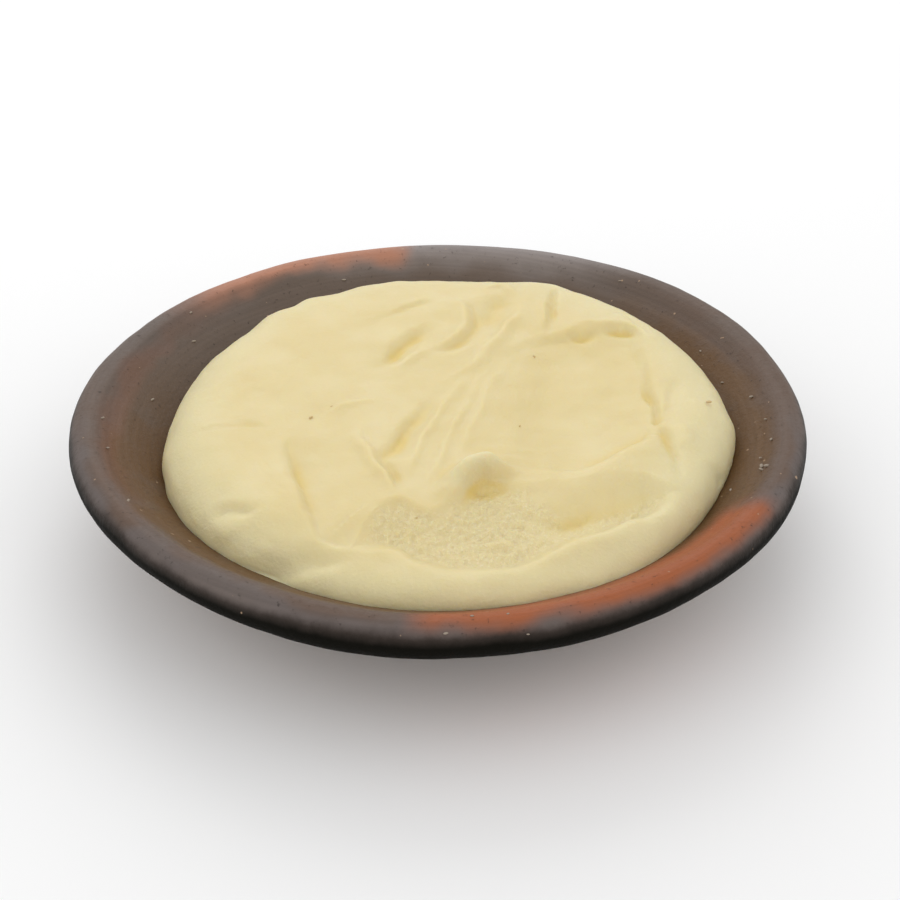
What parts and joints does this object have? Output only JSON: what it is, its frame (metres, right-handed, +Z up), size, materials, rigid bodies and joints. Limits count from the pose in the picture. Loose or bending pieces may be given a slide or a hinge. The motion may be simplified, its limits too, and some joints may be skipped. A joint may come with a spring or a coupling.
{
  "type": "mashed potato side in a clay dish",
  "caption": "Round, shallow clay dish with a rolled rim, filled with a soft mound of mashed potato that keeps the spoon's scoops, strokes and a small curl.",
  "frame": {"origin": "middle of the dish's outline, at the level of the surface it stands on", "axes": "+Z up; +Y towards the far side of the dish, +X to the right; the orange fire marks are at the far left and the near right"},
  "size_m": [0.2, 0.2, 0.0438],
  "materials": {
    "clay": "unglazed, smoke-fired and burnished, with orange fire marks",
    "mash": "moist, smooth mashed potato, pale butter yellow"
  },
  "bodies": {
    "root": {"dish": "clay", "mashed_potato": "mash"}
  },
  "joints": []
}
